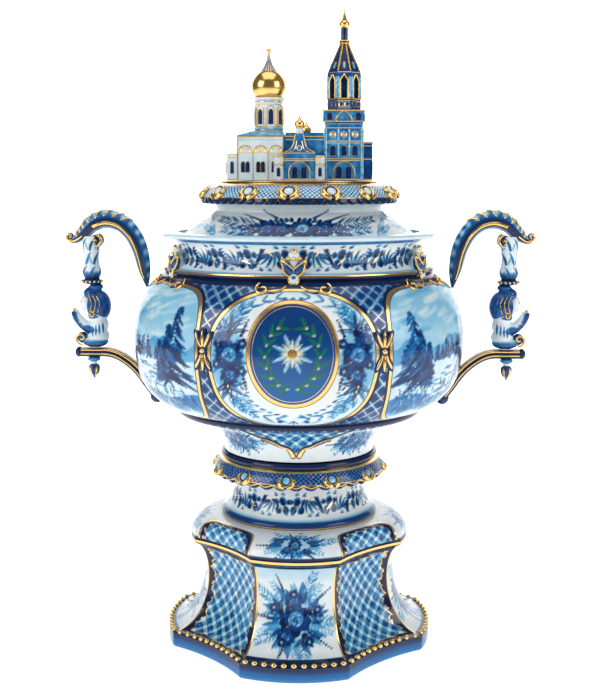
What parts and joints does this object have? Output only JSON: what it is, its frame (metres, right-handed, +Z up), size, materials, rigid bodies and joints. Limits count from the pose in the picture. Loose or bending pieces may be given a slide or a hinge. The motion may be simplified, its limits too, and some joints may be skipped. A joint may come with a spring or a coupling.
{
  "type": "lidded porcelain urn",
  "caption": "Two-handled lidded porcelain urn on an eight-sided plinth, blue and gold on white, with a lift-off lid crowned by a model church.",
  "frame": {"origin": "middle of the foot's underside, on the surface that the urn stands on", "axes": "+Z up the urn's axis, -Y towards the front panel, X through the two handles with the bell tower on +X"},
  "size_m": [0.4672, 0.3262, 0.6273],
  "materials": {
    "painted_porcelain": "white glaze with cobalt underglaze painting and burnished gold lines",
    "white_porcelain": "glossy white glaze with pale blue washes",
    "cobalt_porcelain": "glossy cobalt glaze with gold lines",
    "gilt_porcelain": "burnished gold over glaze",
    "rod_steel": "plain zinc-plated",
    "gasket_rubber": "matt"
  },
  "bodies": {
    "urn": {"plinth_skirt": "painted_porcelain", "plinth_shoulder": "painted_porcelain", "pedestal_waist": "painted_porcelain", "pedestal_collar": "cobalt_porcelain", "bowl_stem": "painted_porcelain", "bowl_body": "painted_porcelain", "bowl_neck": "painted_porcelain", "neck_sprigs": "white_porcelain", "panel_curls": "gilt_porcelain", "leaf_knots": "cobalt_porcelain", "handle_arm_left": "cobalt_porcelain", "handle_arm_right": "cobalt_porcelain", "handle_capital_left": "white_porcelain", "handle_capital_right": "white_porcelain", "handle_herm_left": "white_porcelain", "handle_herm_right": "white_porcelain", "handle_bracket_left": "cobalt_porcelain", "handle_bracket_right": "cobalt_porcelain", "handle_pendant_left": "cobalt_porcelain", "handle_pendant_right": "cobalt_porcelain", "seat_gasket": "gasket_rubber", "tie_rod": "rod_steel", "rod_washer_upper": "rod_steel", "rod_nut_upper": "rod_steel", "rod_washer_lower": "rod_steel", "rod_nut_lower": "rod_steel"},
    "lid": {"lid_dome": "painted_porcelain", "lid_ring": "cobalt_porcelain", "lid_plateau": "gilt_porcelain", "church_nave": "white_porcelain", "church_nave_roof": "cobalt_porcelain", "church_apse": "white_porcelain", "church_drum": "white_porcelain", "church_onion": "gilt_porcelain", "church_onion_cap": "gilt_porcelain", "church_hall": "cobalt_porcelain", "church_hall_roof": "cobalt_porcelain", "church_rear_onion": "gilt_porcelain", "church_porch": "cobalt_porcelain", "church_porch_gable": "cobalt_porcelain", "church_porch_turrets": "white_porcelain", "church_porch_drum": "white_porcelain", "church_porch_onion": "gilt_porcelain", "tower_base": "cobalt_porcelain", "tower_stage": "cobalt_porcelain", "tower_belfry_sill": "cobalt_porcelain", "tower_belfry": "cobalt_porcelain", "tower_tent": "cobalt_porcelain", "tower_spire_neck": "cobalt_porcelain", "tower_onion": "gilt_porcelain", "tower_annex": "cobalt_porcelain"}
  },
  "joints": [
    {"name": "lid_lift", "type": "slide", "parent": "urn", "child": "lid", "axis": [0, 0, 1], "range_m": [0, 0.15]}
  ]
}
